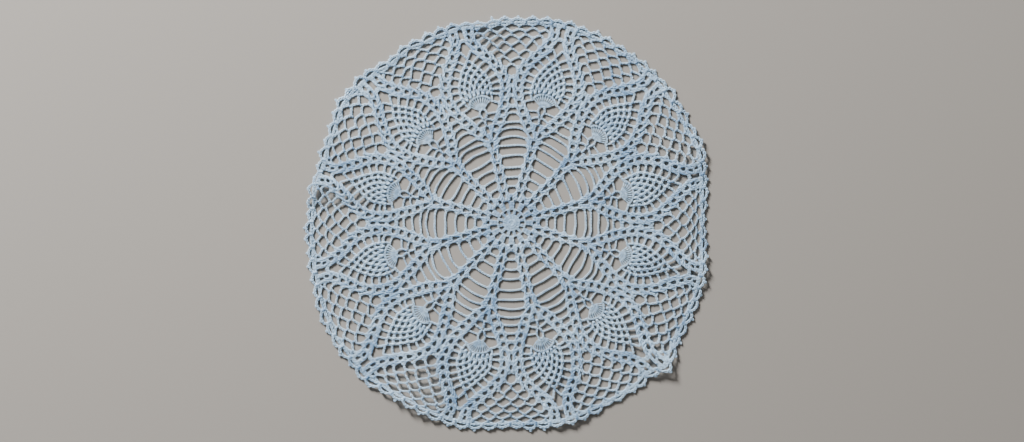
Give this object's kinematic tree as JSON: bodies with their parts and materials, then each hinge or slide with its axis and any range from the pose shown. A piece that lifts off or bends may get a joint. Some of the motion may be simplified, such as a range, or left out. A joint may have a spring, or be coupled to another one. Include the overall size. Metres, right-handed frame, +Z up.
{
  "type": "crocheted lace doily",
  "caption": "Round crocheted lace doily with open ladders round a close centre, a ring of pineapple motifs, a diamond net and a picot edge, lying flat on a table.",
  "frame": {"origin": "the ring the crochet starts from, at the middle of the doily, on its underside where it lies on the table", "axes": "+Z up, out of the doily's face; +X and +Y in the table's plane, each along the middle of a ladder"},
  "size_m": [0.3038, 0.3124, 0.0049],
  "materials": {
    "cotton_thread": "pale blue-grey crochet cotton, matt with a faint sheen"
  },
  "bodies": {
    "root": {"doily": "cotton_thread"}
  },
  "joints": []
}
